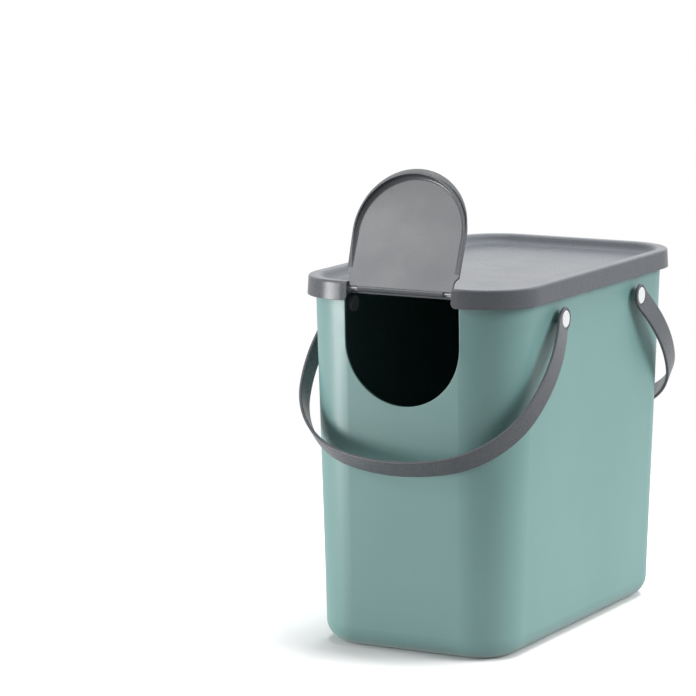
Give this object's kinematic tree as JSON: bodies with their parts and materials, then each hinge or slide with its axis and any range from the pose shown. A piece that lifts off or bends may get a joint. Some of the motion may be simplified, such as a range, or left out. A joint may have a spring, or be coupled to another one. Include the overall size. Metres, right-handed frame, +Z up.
{
  "type": "waste sorting bin",
  "caption": "Tapered rectangular waste bin with a lift-off tray lid, a hinged tongue-shaped front flap over a notch in its wall, and flat strap carrying handles pivoting on its long sides.",
  "frame": {"origin": "on the floor, below the middle of the whole object's bounding box", "axes": "+Z up, +X across the width towards the right long side, front with the flap towards -Y"},
  "size_m": [0.2516, 0.4426, 0.453],
  "materials": {
    "sage_plastic": "fine matte moulded texture",
    "anthracite_plastic": "fine matte moulded texture",
    "white_plastic": "satin",
    "pin_steel": "satin"
  },
  "bodies": {
    "container": {"container": "sage_plastic", "rivet_front_left": "white_plastic", "rivet_front_right": "white_plastic", "rivet_rear_left": "white_plastic", "rivet_rear_right": "white_plastic", "rivet_cap_front_left": "white_plastic", "rivet_cap_front_right": "white_plastic", "rivet_cap_rear_left": "white_plastic", "rivet_cap_rear_right": "white_plastic"},
    "lid": {"lid": "anthracite_plastic", "flap_pin_left": "pin_steel", "flap_pin_right": "pin_steel"},
    "flap": {"flap": "anthracite_plastic"},
    "front_handle": {"front_handle": "anthracite_plastic"},
    "rear_handle": {"rear_handle": "anthracite_plastic"}
  },
  "joints": [
    {"name": "lid_lift", "type": "slide", "parent": "container", "child": "lid", "axis": [0, 0, 1], "range_m": [0, 0.04]},
    {"name": "flap_hinge", "type": "hinge", "parent": "lid", "child": "flap", "pos_m": [0, -0.1935, 0.344], "axis": [1, 0, 0], "range_deg": [0, 196.7]},
    {"name": "front_handle_pivot", "type": "hinge", "parent": "container", "child": "front_handle", "pos_m": [0, -0.088, 0.3123], "axis": [-1, 0, 0], "range_deg": [0, 161.5]},
    {"name": "rear_handle_pivot", "type": "hinge", "parent": "container", "child": "rear_handle", "pos_m": [0, 0.088, 0.3123], "axis": [1, 0, 0], "range_deg": [0, 161.5]}
  ]
}
